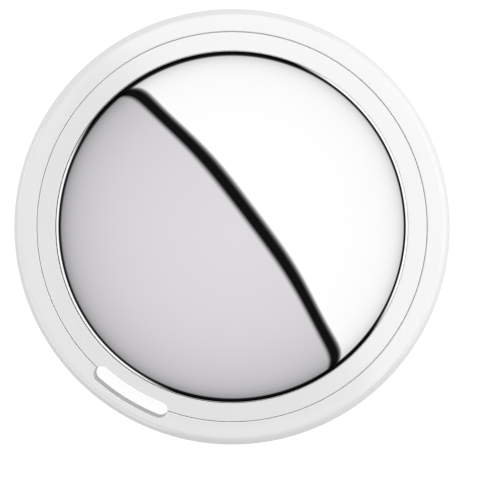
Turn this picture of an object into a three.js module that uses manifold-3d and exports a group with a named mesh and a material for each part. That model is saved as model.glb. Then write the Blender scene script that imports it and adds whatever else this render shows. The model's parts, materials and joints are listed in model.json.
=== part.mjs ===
// A round Bluetooth tracker tag that runs on one coin cell.
// The white front face lies on Z = 0 and the mirror-polished battery cover faces +Z.
// The lanyard slot is centred on -Y. All lengths are millimetres.

import * as THREE from 'three';
import { mergeVertices } from 'three/addons/utils/BufferGeometryUtils.js';
import Module from 'manifold-3d';

const wasm = await Module();
wasm.setup();

// ---- driving dimensions ------------------------------------------------------------

const TAG_RADIUS = 16.0;
const SEAM_RADIUS = 14.30;           // middle of the fine joint between shell and ring
const SEAM_GAP = 0.05;
const RING_TOP = 7.85;               // height of the white back face
const BACK_EDGE_WIDTH = 0.65;        // softened back edge: across, then up
const BACK_EDGE_HEIGHT = 1.3;
const FRONT_EDGE_WIDTH = 2.9;        // rounded front edge: across, then up
const FRONT_EDGE_HEIGHT = 3.0;
const SHELL_FLOOR = 0.8;
const FIT = 0.05;                    // running gap between stacked pieces
const EDGE_BREAK = 0.06;             // small chamfer on both sides of the seam

const SLOT_RADIUS = 14.43;           // middle of the curved lanyard slot
const SLOT_WIDTH = 1.22;
const SLOT_LENGTH = 6.2;             // over its round ends
const SLOT_AZIMUTH = -Math.PI / 2;

const COVER_RADIUS = 12.88;
const COVER_SHEET = 0.25;
const COVER_EDGE_WIDTH = 0.31;       // the rolled edge, between the dome and the skirt
const COVER_EDGE_LEAN = THREE.MathUtils.degToRad(40);  // how far it leans before the skirt
const COVER_SHOULDER = 7.95;         // height where the dome meets the rolled edge
const COVER_SKIRT_BOTTOM = 7.1;
const DOME_RISE = 0.75;
const DOME_RIM_SHARE = 0.57;         // part of the rise that is kept for the steeper rim
const RING_BORE = 12.95;             // ring wall around the cover
const RING_LOWER_BORE = 12.75;       // ring wall around the board and the tray

const LUG_COUNT = 3;
const LUG_HALF_ANGLE = THREE.MathUtils.degToRad(8);
const GAP_HALF_ANGLE = THREE.MathUtils.degToRad(10.5);
const TWIST_RANGE = THREE.MathUtils.degToRad(20);
const LUG_BOTTOM = 5.85;
const LUG_TOP = 6.4;
const LUG_RADIUS = 12.8;
const LEDGE_TOP = 6.95;
const LEDGE_RADIUS = 12.3;
const LEDGE_ROOT = 13.2;             // how far a ledge reaches into the ring's wall
const STOP_WIDTH = THREE.MathUtils.degToRad(3.5);
const STOP_CLEARANCE = THREE.MathUtils.degToRad(1.5);
const CARRIER_RADIUS = 12.15;
const CARRIER_WALL = 0.85;
const CARRIER_UNDERSIDE = 7.35;
const GLUE_GAP = 0.12;

const CELL_RADIUS = 10.0;            // CR2032: 20 mm across, 3.2 mm thick
const CELL_BOTTOM = 3.8;
const CELL_HEIGHT = 3.2;
const CELL_SHEET = 0.25;

const POST_AZIMUTHS = [30, 150, 270];  // the board rests on three posts in the shell
const POST_CIRCLE = 11.55;
const POST_RADIUS = 0.65;
const BOARD_RADIUS = 12.4;
const BOARD_BOTTOM = 2.5;
const BOARD_THICKNESS = 0.6;
const BOARD_TOP = BOARD_BOTTOM + BOARD_THICKNESS;
const TRAY_FLOOR_BOTTOM = BOARD_TOP + FIT;
const TRAY_FLOOR_TOP = 3.55;
const TRAY_BORE = 10.2;
const TRAY_WALL = 0.8;
const TRAY_TOP = 6.7;
const TRAY_FLANGE_RADIUS = 12.55;
const TRAY_FLANGE_TOP = 3.75;

const BUTTON_RADIUS = 9.45;
const BUTTON_HOLE_RADIUS = 9.6;
const BUTTON_RECESS = 0.08;
const BUTTON_TRAVEL = 0.25;
const BUTTON_FLANGE_RADIUS = 10.3;
const BUTTON_INSIDE = SHELL_FLOOR + FIT;

const FINE = 48;                     // facets around the big round pieces
const COARSE = 32;                   // facets around the small inner ones

// ---- materials ---------------------------------------------------------------------

function finish(color, roughness, metalness = 0) {
  return new THREE.MeshStandardMaterial({ color, roughness, metalness });
}

const whitePlastic = finish(0xe9e9eb, 0.28);
const mirrorSteel = finish(0xd9d9db, 0.04, 1);
const blackPlastic = finish(0x1f2022, 0.55);
const glue = finish(0xd8d2c0, 0.6);
const foam = finish(0x3a3b3d, 0.95);
const silicone = finish(0x5a5c60, 0.8);
const cellSteel = finish(0xb9babc, 0.25, 1);
const cellPlastic = finish(0x2a2b2e, 0.6);
const cathodeMix = finish(0x1a1a1c, 0.9);
const lithium = finish(0xa9abad, 0.5, 0.6);
const boardMask = finish(0x16452e, 0.45);
const chipEpoxy = finish(0x1c1c1e, 0.5);
const metalCan = finish(0xc2c3c5, 0.3, 1);
const ceramicBody = finish(0xcfc6b4, 0.5);
const darkFerrite = finish(0x3d3c3e, 0.6);
const contactSteel = finish(0xcbb880, 0.3, 1);
const piezoBrass = finish(0xc8a24c, 0.35, 1);
const piezoWhite = finish(0xddd8cc, 0.45);

// ---- shape helpers -----------------------------------------------------------------

// Turns a closed (radius, height) outline round the Z axis.
function turned(outline, facets) {
  const points = outline.map(([r, z]) => new THREE.Vector2(r, z));
  const onAxis = outline[0][0] === 0 && outline.at(-1)[0] === 0;
  if (!onAxis) points.push(points[0].clone());
  return new THREE.LatheGeometry(points, facets).rotateX(Math.PI / 2);
}

// Points of a quarter of an ellipse in the (radius, height) plane.
function arcPoints(centreR, centreZ, width, height, fromAngle, toAngle, steps) {
  return Array.from({ length: steps + 1 }, (_, i) => {
    const angle = THREE.MathUtils.lerp(fromAngle, toAngle, i / steps);
    return [centreR + width * Math.cos(angle), centreZ + height * Math.sin(angle)];
  });
}

function cylinder(radius, bottom, top, facets = COARSE) {
  return turned([[0, bottom], [radius, bottom], [radius, top], [0, top]], facets);
}

function tube(inner, outer, bottom, top, facets = COARSE) {
  return turned([[inner, bottom], [outer, bottom], [outer, top], [inner, top]], facets);
}

function block(width, depth, bottom, top, x = 0, y = 0) {
  return new THREE.BoxGeometry(width, depth, top - bottom).translate(x, y, (bottom + top) / 2);
}

// A flat outline in XY pushed up from bottom to top.
function raised(shape, bottom, top, curveSegments = 8) {
  const settings = { depth: top - bottom, bevelEnabled: false, curveSegments };
  return new THREE.ExtrudeGeometry(shape, settings).translate(0, 0, bottom);
}

// A ring sector between two radii and two azimuths.
function sector(inner, outer, from, to, bottom, top) {
  const shape = new THREE.Shape();
  shape.absarc(0, 0, outer, from, to, false);
  shape.absarc(0, 0, inner, to, from, true);
  return raised(shape, bottom, top);
}

function rectangle(width, depth, corner) {
  const [w, d] = [width / 2 - corner, depth / 2 - corner];
  const shape = new THREE.Shape();
  shape.absarc(w, d, corner, 0, Math.PI / 2, false);
  shape.absarc(-w, d, corner, Math.PI / 2, Math.PI, false);
  shape.absarc(-w, -d, corner, Math.PI, 1.5 * Math.PI, false);
  shape.absarc(w, -d, corner, 1.5 * Math.PI, 2 * Math.PI, false);
  return shape;
}

// A strip of sheet metal: an (along, up) centre line with a thickness, pushed out sideways.
function bentStrip(line, thickness, width) {
  const up = line.map(([along, z]) => [along, z + thickness]);
  const outline = [...line, ...up.reverse()].map(([along, z]) => new THREE.Vector2(along, z));
  const settings = { depth: width, bevelEnabled: false };
  const strip = new THREE.ExtrudeGeometry(new THREE.Shape(outline), settings);
  return strip.translate(0, 0, -width / 2).rotateX(Math.PI / 2);
}

function toSolid(geometry) {
  const bare = geometry.clone();
  bare.deleteAttribute('normal');
  bare.deleteAttribute('uv');
  const welded = mergeVertices(bare, 1e-4);
  const corners = welded.index.array;
  const kept = [];
  for (let i = 0; i < corners.length; i += 3) {
    const [a, b, c] = [corners[i], corners[i + 1], corners[i + 2]];
    if (a !== b && b !== c && c !== a) kept.push(a, b, c);
  }
  const vertProperties = new Float32Array(welded.attributes.position.array);
  const triVerts = new Uint32Array(kept);
  return new wasm.Manifold(new wasm.Mesh({ numProp: 3, vertProperties, triVerts }));
}

function toGeometry(solid) {
  const mesh = solid.getMesh();
  const geometry = new THREE.BufferGeometry();
  geometry.setAttribute('position', new THREE.BufferAttribute(mesh.vertProperties, 3));
  geometry.setIndex(new THREE.BufferAttribute(mesh.triVerts, 1));
  return geometry;
}

function joined(first, ...others) {
  return toGeometry(others.reduce((solid, next) => solid.add(toSolid(next)), toSolid(first)));
}

function cut(first, ...others) {
  return toGeometry(others.reduce((solid, next) => solid.subtract(toSolid(next)), toSolid(first)));
}

const tag = new THREE.Group();

function place(parent, name, geometry, material) {
  const mesh = new THREE.Mesh(geometry, material);
  mesh.name = name;
  parent.add(mesh);
  return mesh;
}

// ---- housing -----------------------------------------------------------------------

// The curved slot that a lanyard loops through, round-ended, right through both pieces.
function lanyardSlot() {
  const half = SLOT_WIDTH / 2;
  const reach = (SLOT_LENGTH / 2 - half) / SLOT_RADIUS;
  const [from, to] = [SLOT_AZIMUTH - reach, SLOT_AZIMUTH + reach];
  const end = angle => [SLOT_RADIUS * Math.cos(angle), SLOT_RADIUS * Math.sin(angle)];
  const shape = new THREE.Shape();
  shape.absarc(0, 0, SLOT_RADIUS + half, from, to, false);
  shape.absarc(...end(to), half, to, to + Math.PI, false);
  shape.absarc(0, 0, SLOT_RADIUS - half, to, from, true);
  shape.absarc(...end(from), half, from + Math.PI, from + 2 * Math.PI, false);
  return raised(shape, -1, RING_TOP + 1, 6);
}

// A cup with a soft front edge, a small back edge and a round hole for the click plate.
function frontShell() {
  const bore = SEAM_RADIUS + SEAM_GAP / 2;
  const frontEdge = arcPoints(TAG_RADIUS - FRONT_EDGE_WIDTH, FRONT_EDGE_HEIGHT,
    FRONT_EDGE_WIDTH, FRONT_EDGE_HEIGHT, -Math.PI / 2, 0, 8);
  const backEdge = arcPoints(TAG_RADIUS - BACK_EDGE_WIDTH, RING_TOP - BACK_EDGE_HEIGHT,
    BACK_EDGE_WIDTH, BACK_EDGE_HEIGHT, 0, Math.PI / 2, 6);
  const cup = turned([
    [BUTTON_HOLE_RADIUS, 0.1], [BUTTON_HOLE_RADIUS + 0.1, 0],
    ...frontEdge, ...backEdge,
    [bore + EDGE_BREAK, RING_TOP], [bore, RING_TOP - EDGE_BREAK],
    [bore, SHELL_FLOOR], [BUTTON_HOLE_RADIUS, SHELL_FLOOR],
  ], FINE);
  const posts = POST_AZIMUTHS.map(degrees => {
    const post = cylinder(POST_RADIUS, SHELL_FLOOR - 0.1, BOARD_BOTTOM - FIT, 12);
    return post.translate(POST_CIRCLE, 0, 0).rotateZ(THREE.MathUtils.degToRad(degrees));
  });
  return cut(joined(cup, ...posts), lanyardSlot());
}

// The inner ring: its top face shows round the cover. Its bore holds three bayonet ledges,
// with a gap between each two for a lug to drop through and a stop under each ledge.
function backRing() {
  const outside = SEAM_RADIUS - SEAM_GAP / 2;
  const shoulder = LUG_BOTTOM - 0.15;
  const ring = turned([
    [RING_LOWER_BORE, SHELL_FLOOR + FIT], [outside, SHELL_FLOOR + FIT],
    [outside, RING_TOP - EDGE_BREAK], [outside - EDGE_BREAK, RING_TOP],
    [RING_BORE + 0.1, RING_TOP], [RING_BORE, RING_TOP - 0.1],
    [RING_BORE, shoulder], [LEDGE_RADIUS, shoulder],
    [LEDGE_RADIUS, TRAY_FLANGE_TOP + FIT], [RING_LOWER_BORE, TRAY_FLANGE_TOP + FIT],
  ], FINE);
  const pitch = 2 * Math.PI / LUG_COUNT;
  const fittings = [];
  for (let i = 0; i < LUG_COUNT; i += 1) {
    const gap = Math.PI / 2 + i * pitch;
    const ledgeStart = gap + GAP_HALF_ANGLE;
    const ledgeEnd = gap + pitch - GAP_HALF_ANGLE;
    fittings.push(sector(LEDGE_RADIUS, LEDGE_ROOT, ledgeStart, ledgeEnd, LUG_TOP + FIT, LEDGE_TOP));
    const stop = gap - TWIST_RANGE - LUG_HALF_ANGLE - STOP_CLEARANCE;
    fittings.push(sector(LEDGE_RADIUS, LEDGE_ROOT, stop - STOP_WIDTH, stop,
      shoulder - 0.1, LUG_TOP + 0.2));
  }
  return cut(joined(ring, ...fittings), lanyardSlot());
}

// ---- battery cover -----------------------------------------------------------------

const DOME_RADIUS = COVER_RADIUS - COVER_EDGE_WIDTH;

// Nearly a sphere in the middle, and steeper towards the rim.
function domeHeight(r) {
  const share = r / DOME_RADIUS;
  const fall = (1 - DOME_RIM_SHARE) * share ** 2 + DOME_RIM_SHARE * share ** 6;
  return COVER_SHOULDER + DOME_RISE * (1 - fall);
}

// Points along the dome at a depth below its polished surface.
function domeLine(depth, fromR, toR, steps) {
  return Array.from({ length: steps + 1 }, (_, i) => {
    const r = THREE.MathUtils.lerp(fromR, toR, i / steps);
    return [r, domeHeight(r) - depth];
  });
}

// The dome leans over in an arc at its rim and drops to a skirt.
function steelCover() {
  const tilt = Math.atan(DOME_RISE / DOME_RADIUS * (2 + 4 * DOME_RIM_SHARE));
  const roll = COVER_EDGE_WIDTH / (Math.sin(COVER_EDGE_LEAN) - Math.sin(tilt));
  const edge = arcPoints(DOME_RADIUS - roll * Math.sin(tilt), COVER_SHOULDER - roll * Math.cos(tilt),
    roll, roll, Math.PI / 2 - COVER_EDGE_LEAN, Math.PI / 2 - tilt, 4);
  const inside = COVER_RADIUS - COVER_SHEET;
  return turned([
    ...domeLine(COVER_SHEET, 0, DOME_RADIUS - 0.2, 8),
    [inside, COVER_SHOULDER - 0.45],
    [inside, COVER_SKIRT_BOTTOM], [COVER_RADIUS, COVER_SKIRT_BOTTOM],
    ...edge.slice(0, -1),
    ...domeLine(0, DOME_RADIUS, 0, 10),
  ], FINE);
}

// The plastic disc inside the cover, with a wall and three lugs for the bayonet.
function bayonetCarrier() {
  const wallInside = CARRIER_RADIUS - CARRIER_WALL;
  const disc = turned([
    [0, CARRIER_UNDERSIDE], [wallInside, CARRIER_UNDERSIDE],
    [wallInside, LUG_BOTTOM], [CARRIER_RADIUS, LUG_BOTTOM],
    ...domeLine(COVER_SHEET + GLUE_GAP, CARRIER_RADIUS, 0, 8),
  ], FINE);
  const lugs = [];
  for (let i = 0; i < LUG_COUNT; i += 1) {
    const middle = Math.PI / 2 + i * 2 * Math.PI / LUG_COUNT;
    lugs.push(sector(CARRIER_RADIUS - 0.4, LUG_RADIUS,
      middle - LUG_HALF_ANGLE, middle + LUG_HALF_ANGLE, LUG_BOTTOM, LUG_TOP));
  }
  return joined(disc, ...lugs);
}

function coverAdhesive() {
  const [inner, outer] = [7, 11.6];
  const middle = COVER_SHEET + GLUE_GAP / 2;
  const half = GLUE_GAP / 4;
  return turned([
    ...domeLine(middle + half, inner, outer, 4),
    ...domeLine(middle - half, outer, inner, 4),
  ], COARSE);
}

// ---- coin cell ---------------------------------------------------------------------

const CELL_TOP = CELL_BOTTOM + CELL_HEIGHT;
const CAP_RADIUS = 8.9;
const CAP_WALL_TOP = CELL_BOTTOM + 1.4;

function cellCan() {
  const inside = CELL_RADIUS - CELL_SHEET;
  const crimp = CAP_RADIUS + 0.25;
  const lip = CELL_BOTTOM + 0.15;
  return turned([
    [0, CELL_TOP - CELL_SHEET], [inside - 0.3, CELL_TOP - CELL_SHEET],
    [inside, CELL_TOP - CELL_SHEET - 0.3], [inside, lip + 0.5],
    [crimp + 0.35, lip + 0.22], [crimp, lip + 0.2], [crimp, lip],
    [CELL_RADIUS - 0.35, lip],
    ...arcPoints(CELL_RADIUS - 0.35, lip + 0.35, 0.35, 0.35, -Math.PI / 2, 0, 2).slice(1),
    ...arcPoints(CELL_RADIUS - 0.45, CELL_TOP - 0.45, 0.45, 0.45, 0, Math.PI / 2, 3),
    [0, CELL_TOP],
  ], COARSE);
}

function cellCap() {
  const inside = CAP_RADIUS - CELL_SHEET;
  return turned([
    [0, CELL_BOTTOM], [CAP_RADIUS - 0.3, CELL_BOTTOM],
    [CAP_RADIUS, CELL_BOTTOM + 0.3], [CAP_RADIUS, CAP_WALL_TOP],
    [inside, CAP_WALL_TOP], [inside, CELL_BOTTOM + 0.38],
    [inside - 0.13, CELL_BOTTOM + CELL_SHEET], [0, CELL_BOTTOM + CELL_SHEET],
  ], COARSE);
}

// ---- battery well and contacts -----------------------------------------------------

const CONTACT_AZIMUTHS = { positive_contact_a: 90, positive_contact_b: 210 };

function batteryTray() {
  const outside = TRAY_BORE + TRAY_WALL;
  const well = turned([
    [0, TRAY_FLOOR_BOTTOM], [TRAY_FLANGE_RADIUS, TRAY_FLOOR_BOTTOM],
    [TRAY_FLANGE_RADIUS, TRAY_FLANGE_TOP], [outside, TRAY_FLANGE_TOP],
    [outside, TRAY_TOP], [TRAY_BORE, TRAY_TOP],
    [TRAY_BORE, TRAY_FLOOR_TOP], [0, TRAY_FLOOR_TOP],
  ], FINE);
  const windows = Object.values(CONTACT_AZIMUTHS).map(degrees => {
    const opening = block(1.25, 3.1, TRAY_FLOOR_BOTTOM - 1, 6.3, TRAY_BORE - 0.05, 0);
    return opening.rotateZ(THREE.MathUtils.degToRad(degrees));
  });
  const bottomOpening = block(8.4, 3.2, TRAY_FLOOR_BOTTOM - 1, TRAY_FLOOR_TOP + 1);
  return cut(well, ...windows, bottomOpening);
}

// An upright leaf that touches the side of the cell, with a foot on the board.
function positiveContact() {
  const foot = BOARD_TOP + 0.03;
  const outline = [[10.72, foot], [10.72, foot + 0.18], [10.38, foot + 0.18],
    [10.24, 5.0], [10.45, 6.1], [10.27, 6.15], [10.06, 5.0], [10.2, foot]];
  const shape = new THREE.Shape(outline.map(([r, z]) => new THREE.Vector2(r, z)));
  const settings = { depth: 2.4, bevelEnabled: false };
  return new THREE.ExtrudeGeometry(shape, settings).translate(0, 0, -1.2).rotateX(Math.PI / 2);
}

// A leaf in the tray floor that rises to meet the cell's cap.
function negativeContact() {
  const low = BOARD_TOP + 0.03;
  return bentStrip([[-4, low], [-2, low], [1.2, 3.5], [2.6, 3.5], [3.8, 3.3]], 0.16, 2.6);
}

// ---- circuit board -----------------------------------------------------------------

function board() {
  const disc = cylinder(BOARD_RADIUS, BOARD_BOTTOM, BOARD_TOP, FINE);
  const key = block(3, 2, BOARD_BOTTOM - 1, BOARD_TOP + 1, 0, -BOARD_RADIUS);
  return cut(disc, key);
}

// Parts soldered to the front side of the board: size, height and place.
const COMPONENTS = {
  soc_chip: { size: [5, 5], height: 0.75, at: [-4.9, 2.7], corner: 0.15, material: chipEpoxy },
  main_crystal: { size: [2, 1.6], height: 0.5, at: [-5.6, -0.9], corner: 0.2, material: metalCan },
  sleep_crystal: { size: [3.2, 1.5], height: 0.7, at: [-5.2, -3.6], corner: 0.25, material: metalCan },
  chip_antenna: { size: [4.6, 1.5], height: 0.8, at: [0, 11.2], corner: 0.1, material: ceramicBody },
  buzzer_driver: { size: [2.9, 1.6], height: 0.7, at: [4.9, -4.3], corner: 0.12, material: chipEpoxy },
  bulk_capacitor: { size: [3.2, 2.5], height: 0.75, at: [5.0, 4.6], corner: 0.15, material: ceramicBody },
};

function component({ size, height, corner }) {
  const top = BOARD_BOTTOM - FIT;
  return raised(rectangle(...size, corner), top - height, top, 2);
}

// A shielded drum inductor with a flat on each end.
function boostInductor() {
  const top = BOARD_BOTTOM - FIT;
  return turned([
    [0, top - 0.75], [1.3, top - 0.75], [1.55, top - 0.5], [1.55, top], [0, top],
  ], 16);
}

const SWITCH_BOTTOM = 1.95;
const PLUNGER_RADIUS = 0.85;

function tactSwitch() {
  const body = raised(rectangle(4.2, 3.2, 0.3), SWITCH_BOTTOM, BOARD_BOTTOM - FIT, 2);
  return cut(body, cylinder(PLUNGER_RADIUS + 0.1, 0, 2.4, 24));
}

// A leaf from the board down towards the sounder disc; low gives the height of its tip.
function piezoSpring(low) {
  const top = BOARD_BOTTOM - FIT - 0.12;
  return bentStrip([[0, top], [1.2, top], [2.4, low], [2.9, low], [3.2, low + 0.15]], 0.12, 1.0);
}

// ---- click plate and sounder -------------------------------------------------------

const RECESS_RADIUS = 9.0;           // the sounder disc lies in the back of the click plate
const BRASS = { bottom: 0.9, top: 1.02, radius: 7.5 };
const CERAMIC = { bottom: 1.06, top: 1.18, radius: 5.2 };
const PAD = { bottom: 1.22, top: 1.5, radius: 1.3 };
const PLUNGER = { bottom: 1.55, top: 2.1, radius: PLUNGER_RADIUS };

function clickPlate() {
  const flangeTop = BUTTON_INSIDE + 0.35;
  return turned([
    [0, BUTTON_RECESS], [BUTTON_RADIUS - 0.15, BUTTON_RECESS],
    [BUTTON_RADIUS, BUTTON_RECESS + 0.15], [BUTTON_RADIUS, BUTTON_INSIDE],
    [BUTTON_FLANGE_RADIUS, BUTTON_INSIDE], [BUTTON_FLANGE_RADIUS, flangeTop],
    [RECESS_RADIUS, flangeTop], [RECESS_RADIUS, BUTTON_INSIDE], [0, BUTTON_INSIDE],
  ], FINE);
}

// A flat disc from a bottom, top and radius.
function disc({ bottom, top, radius }, facets) {
  return cylinder(radius, bottom, top, facets);
}

// ---- assembly ----------------------------------------------------------------------

place(tag, 'front_shell', frontShell(), whitePlastic);
place(tag, 'back_ring', backRing(), whitePlastic);
place(tag, 'battery_tray', batteryTray(), blackPlastic);

const cover = new THREE.Group();
tag.add(cover);
place(cover, 'steel_cover', steelCover(), mirrorSteel);
place(cover, 'cover_adhesive', coverAdhesive(), glue);
place(cover, 'bayonet_carrier', bayonetCarrier(), blackPlastic);
place(cover, 'foam_pad', cylinder(6, CELL_TOP + FIT, CARRIER_UNDERSIDE - 0.03), foam);
place(tag, 'cover_gasket', tube(10.3, 10.9, TRAY_TOP + FIT, CARRIER_UNDERSIDE - FIT), silicone);

const cell = new THREE.Group();
tag.add(cell);
place(cell, 'cell_can', cellCan(), cellSteel);
place(cell, 'cell_cap', cellCap(), cellSteel);
place(cell, 'cell_seal', tube(8.94, 9.1, CELL_BOTTOM + 0.1, CELL_BOTTOM + 1.1), cellPlastic);
place(cell, 'cell_cathode', cylinder(8.5, CELL_BOTTOM + 1.5, CELL_TOP - 0.3), cathodeMix);
place(cell, 'cell_anode', cylinder(8.2, CELL_BOTTOM + 0.32, CELL_BOTTOM + 1.3), lithium);

for (const [name, degrees] of Object.entries(CONTACT_AZIMUTHS)) {
  const contact = place(tag, name, positiveContact(), contactSteel);
  contact.rotation.z = THREE.MathUtils.degToRad(degrees);
}
place(tag, 'negative_contact', negativeContact(), contactSteel);

place(tag, 'pcb', board(), boardMask);
for (const [name, part] of Object.entries(COMPONENTS)) {
  const mesh = place(tag, name, component(part), part.material);
  mesh.position.set(...part.at, 0);
}
place(tag, 'boost_inductor', boostInductor(), darkFerrite).position.set(5.6, 0.2, 0);
place(tag, 'tact_switch', tactSwitch(), metalCan);

const ceramicSpring = place(tag, 'piezo_spring_a', piezoSpring(1.5), contactSteel);
ceramicSpring.position.set(0, 6.6, 0);
ceramicSpring.rotation.z = -Math.PI / 2;
const brassSpring = place(tag, 'piezo_spring_b', piezoSpring(1.34), contactSteel);
brassSpring.position.set(0, -3.2, 0);
brassSpring.rotation.z = -Math.PI / 2;

const button = new THREE.Group();
tag.add(button);
place(button, 'click_plate', clickPlate(), whitePlastic);
const ringTop = BOARD_BOTTOM - BUTTON_TRAVEL - 0.15;
place(button, 'return_ring', tube(9.15, 10.1, 1.23, ringTop), silicone);
place(button, 'piezo_plate', disc(BRASS, COARSE), piezoBrass);
place(button, 'piezo_ceramic', disc(CERAMIC, COARSE), piezoWhite);
place(button, 'actuator_pad', disc(PAD, 20), silicone);
place(button, 'switch_plunger', disc(PLUNGER, 20), blackPlastic);

export default tag;
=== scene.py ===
"""A round Bluetooth tracker tag, seen from its mirror-polished battery cover.

Sizes and outlines are in millimetres, and become metres where a mesh is made. An outline's points are
(radius, height) or (radius, height, rounding). The floor, light and camera are in metres. The outer
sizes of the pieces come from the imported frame's boxes.
"""

import json
import math

import bmesh
import bpy
from mathutils import Matrix, Vector

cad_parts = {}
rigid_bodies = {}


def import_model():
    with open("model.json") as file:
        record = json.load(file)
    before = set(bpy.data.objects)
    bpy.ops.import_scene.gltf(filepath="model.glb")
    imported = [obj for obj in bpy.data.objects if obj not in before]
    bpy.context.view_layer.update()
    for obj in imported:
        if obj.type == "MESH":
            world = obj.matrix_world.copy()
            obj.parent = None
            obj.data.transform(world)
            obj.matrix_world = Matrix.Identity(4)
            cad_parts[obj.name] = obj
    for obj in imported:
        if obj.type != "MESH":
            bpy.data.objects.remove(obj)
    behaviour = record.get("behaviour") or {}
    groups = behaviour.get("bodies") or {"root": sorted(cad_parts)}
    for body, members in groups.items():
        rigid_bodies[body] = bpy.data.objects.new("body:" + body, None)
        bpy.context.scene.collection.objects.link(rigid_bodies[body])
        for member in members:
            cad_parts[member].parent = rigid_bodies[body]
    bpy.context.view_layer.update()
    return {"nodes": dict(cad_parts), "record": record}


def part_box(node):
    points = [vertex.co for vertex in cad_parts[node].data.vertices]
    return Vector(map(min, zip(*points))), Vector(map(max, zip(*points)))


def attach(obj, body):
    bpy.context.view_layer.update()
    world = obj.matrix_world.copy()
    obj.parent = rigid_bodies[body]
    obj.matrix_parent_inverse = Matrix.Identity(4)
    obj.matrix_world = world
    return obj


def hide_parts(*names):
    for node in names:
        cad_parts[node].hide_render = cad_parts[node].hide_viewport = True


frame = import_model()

MM = 0.001
FINE = 360               # facets round a large visible piece
MEDIUM = 192             # facets round a piece that shows only when the tag is opened
SHARP_ANGLE = math.radians(35)             # an edge sharper than this isn't shaded smooth


# ---- sizes in millimetres, the outer ones read from the frame --------------------------

def reach(node):
    """The outer radius of a round node."""
    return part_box(node)[1].x / MM


def bottom(node):
    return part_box(node)[0].z / MM


def top(node):
    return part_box(node)[1].z / MM


TAG_RADIUS = reach("front_shell")
RING_TOP = top("back_ring")
RING_RADIUS = reach("back_ring")
RING_BORE = 12.95
SEAM_GAP = 0.05
SHELL_FLOOR = 0.8        # inner face of the front shell
LEDGE_RADIUS = 12.3
LEDGE_ROOT = 13.2        # how far a ledge reaches into the ring's wall
COVER_RADIUS = reach("steel_cover")
COVER_TOP = top("steel_cover")
COVER_SHOULDER = 7.95
COVER_EDGE = 0.31        # width of the rolled edge, which leans over to EDGE_LEAN
EDGE_LEAN = math.radians(20)
COVER_SHEET = 0.25       # thickness of the steel
DOME_RADIUS = COVER_RADIUS - COVER_EDGE
RIM_SHARE = 0.57         # how much of the dome's fall comes close to its rim
LUG_TOP = 6.4
LUG_ANGLES = [math.radians(90 + 120 * i) for i in range(3)]    # the middle of each lug at rest
LUG_HALF = math.radians(8)                 # half of a lug's width
LUG_GAP_HALF = math.radians(10.5)          # half of the gap that it lifts through
STOP_START = math.radians(-33)             # a stop's two sides, from the middle of its gap
STOP_END = math.radians(-29.5)


# ---- level directions, as the main view shows them --------------------------------------

PHOTO_TURN = math.radians(31.6)      # the view's right-hand direction, turned about Z
RIGHT = Vector((math.cos(PHOTO_TURN), math.sin(PHOTO_TURN), 0))
UP = Vector((-math.sin(PHOTO_TURN), math.cos(PHOTO_TURN), 0))


def across(angle):
    """A level direction, at an angle from the view's right-hand direction in degrees."""
    return RIGHT * math.cos(math.radians(angle)) + UP * math.sin(math.radians(angle))


# ---- meshes ---------------------------------------------------------------------------

def rounded(outline, steps=6):
    """The outline's (radius, height) points, with an arc at each corner that has a rounding."""
    points = []
    for i, corner in enumerate(outline):
        here = Vector(corner[:2])
        if len(corner) < 3:
            points.append(tuple(here))
            continue
        before = (Vector(outline[i - 1][:2]) - here).normalized()
        after = (Vector(outline[(i + 1) % len(outline)][:2]) - here).normalized()
        half = before.angle(after) / 2
        centre = here + (before + after).normalized() * corner[2] / math.sin(half)
        start = here + before * corner[2] / math.tan(half) - centre
        end = here + after * corner[2] / math.tan(half) - centre
        sweep = start.angle_signed(end)
        for k in range(steps + 1):
            turned_arm = start.copy()
            turned_arm.rotate(Matrix.Rotation(-sweep * k / steps, 2))
            points.append(tuple(centre + turned_arm))
    return points


def ellipse(centre, size, start, end, steps):
    """Points of an elliptical arc between two angles in degrees."""
    angles = [math.radians(start + (end - start) * i / steps) for i in range(steps + 1)]
    return [(centre[0] + size[0] * math.cos(a), centre[1] + size[1] * math.sin(a)) for a in angles]


def mesh_object(name, mesh):
    piece = bpy.data.objects.new(name, mesh)
    bpy.context.scene.collection.objects.link(piece)
    return piece


def finished(name, bm):
    """Makes an object of a bmesh whose lengths are millimetres."""
    bmesh.ops.remove_doubles(bm, verts=bm.verts, dist=1e-5)
    bmesh.ops.recalc_face_normals(bm, faces=bm.faces)
    bmesh.ops.scale(bm, vec=Vector((MM, MM, MM)), verts=bm.verts)
    mesh = bpy.data.meshes.new(name)
    bm.to_mesh(mesh)
    bm.free()
    return mesh_object(name, mesh)


def turned(name, outline, facets=FINE):
    """Turns an outline round the Z axis. It starts and ends on the axis, or closes on itself."""
    bm = bmesh.new()
    rows = []
    for r, z in outline:
        if r < 1e-6:
            rows.append([bm.verts.new((0, 0, z))] * facets)
            continue
        angles = [2 * math.pi * j / facets for j in range(facets)]
        rows.append([bm.verts.new((r * math.cos(a), r * math.sin(a), z)) for a in angles])
    on_axis = outline[0][0] < 1e-6 and outline[-1][0] < 1e-6
    last = len(rows) - 1 if on_axis else len(rows)
    for i in range(last):
        low, high = rows[i], rows[(i + 1) % len(rows)]
        for j in range(facets):
            k = (j + 1) % facets
            corners = list(dict.fromkeys((low[j], low[k], high[k], high[j])))
            if len(corners) > 2:
                bm.faces.new(corners)
    return finished(name, bm)


def lofted(name, rings):
    """A closed solid through rings of (x, y, z) points that all have the same count."""
    bm = bmesh.new()
    rows = [[bm.verts.new(p) for p in ring] for ring in rings]
    count = len(rows[0])
    for low, high in zip(rows, rows[1:]):
        for j in range(count):
            k = (j + 1) % count
            bm.faces.new((low[j], low[k], high[k], high[j]))
    bm.faces.new(list(reversed(rows[0])))
    bm.faces.new(rows[-1])
    return finished(name, bm)


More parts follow.
